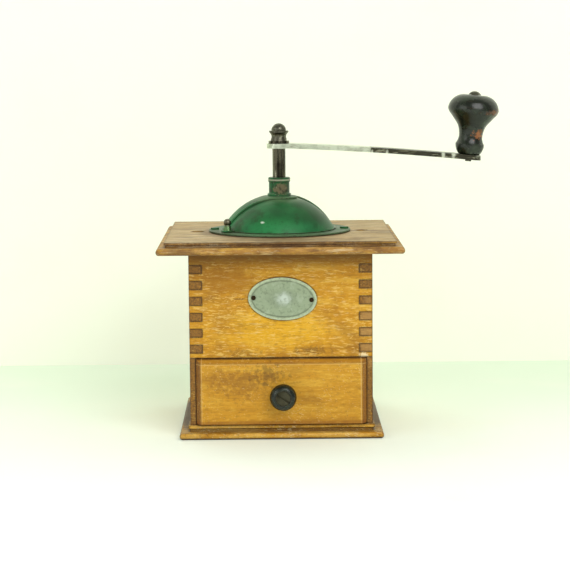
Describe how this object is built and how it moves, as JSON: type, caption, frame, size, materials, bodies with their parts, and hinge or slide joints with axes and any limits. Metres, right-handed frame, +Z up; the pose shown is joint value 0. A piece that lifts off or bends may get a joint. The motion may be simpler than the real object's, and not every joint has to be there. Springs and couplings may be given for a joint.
{
  "type": "hand crank coffee grinder",
  "caption": "Wooden box coffee grinder with a hand crank, a green domed hopper with a turning shutter, burrs inside and a drawer for the grounds.",
  "frame": {"origin": "centre of the underside of the base board", "axes": "+X to the right towards the crank knob, +Y to the back, +Z up along the drive shaft"},
  "size_m": [0.229, 0.16, 0.2246],
  "materials": {
    "beech_front": "waxed",
    "beech_end_grain": "waxed",
    "beech_top": "worn",
    "drawer_wood": "bare",
    "green_paint": "gloss",
    "black_wood": "gloss paint",
    "nickel_steel": "worn plating",
    "dark_steel": "aged",
    "burr_iron": "machined",
    "badge_zinc": "dull",
    "tinned_steel": "dull"
  },
  "bodies": {
    "cabinet": {"base_board": "beech_front", "left_side_board": "beech_end_grain", "right_side_board": "beech_end_grain", "front_board": "beech_front", "back_board": "beech_front", "top_board": "beech_top", "base_screws": "dark_steel", "top_screws": "dark_steel", "front_badge": "badge_zinc", "badge_pins": "badge_zinc", "hopper_dome": "green_paint", "dome_collar": "green_paint", "dome_screws": "dark_steel", "shutter_retainer": "dark_steel", "hopper_bowl": "tinned_steel", "burr_ring": "burr_iron", "burr_ring_screws": "dark_steel", "lower_bridge": "burr_iron", "bridge_screws": "dark_steel"},
    "drawer": {"drawer_front": "beech_front", "drawer_left_side": "drawer_wood", "drawer_right_side": "drawer_wood", "drawer_back": "drawer_wood", "drawer_bottom": "drawer_wood", "drawer_nails": "dark_steel", "drawer_knob": "black_wood", "drawer_knob_screw": "dark_steel", "drawer_knob_nut": "dark_steel"},
    "shutter": {"shutter": "green_paint", "shutter_knob": "dark_steel"},
    "spindle_seat": {"thrust_ball": "dark_steel"},
    "adjuster": {"adjuster_screw": "dark_steel", "adjuster_lock_nut": "dark_steel"},
    "crank": {"drive_shaft": "dark_steel", "burr_cone": "burr_iron", "cone_pin": "dark_steel", "crank_arm": "nickel_steel", "crank_washer": "dark_steel", "crank_nut": "nickel_steel", "knob_pin": "dark_steel"},
    "knob": {"crank_knob": "black_wood"}
  },
  "joints": [
    {"name": "drawer_slide", "type": "slide", "parent": "cabinet", "child": "drawer", "axis": [0, -1, 0], "range_m": [0, 0.085]},
    {"name": "shutter_turn", "type": "hinge", "parent": "cabinet", "child": "shutter", "pos_m": [0, 0, 0.145], "axis": [0, 0, 1], "range_deg": [0, 122]},
    {"name": "grind_lift", "type": "slide", "parent": "cabinet", "child": "spindle_seat", "axis": [0, 0, 1], "range_m": [0, 0.0009375]},
    {"name": "adjuster_turn", "type": "hinge", "parent": "spindle_seat", "child": "adjuster", "pos_m": [0, 0, 0.06], "axis": [0, 0, 1], "range_deg": [0, 270]},
    {"name": "crank_spin", "type": "hinge", "parent": "spindle_seat", "child": "crank", "pos_m": [0, 0, 0.1], "axis": [0, 0, 1], "continuous": true},
    {"name": "knob_spin", "type": "hinge", "parent": "crank", "child": "knob", "pos_m": [0.1288, 0, 0.18182], "axis": [0.1011, 0, 0.9949], "continuous": true}
  ],
  "couplings": [
    {"joint": "adjuster_turn", "follows": "grind_lift", "rad_per_m": 5026.5}
  ]
}
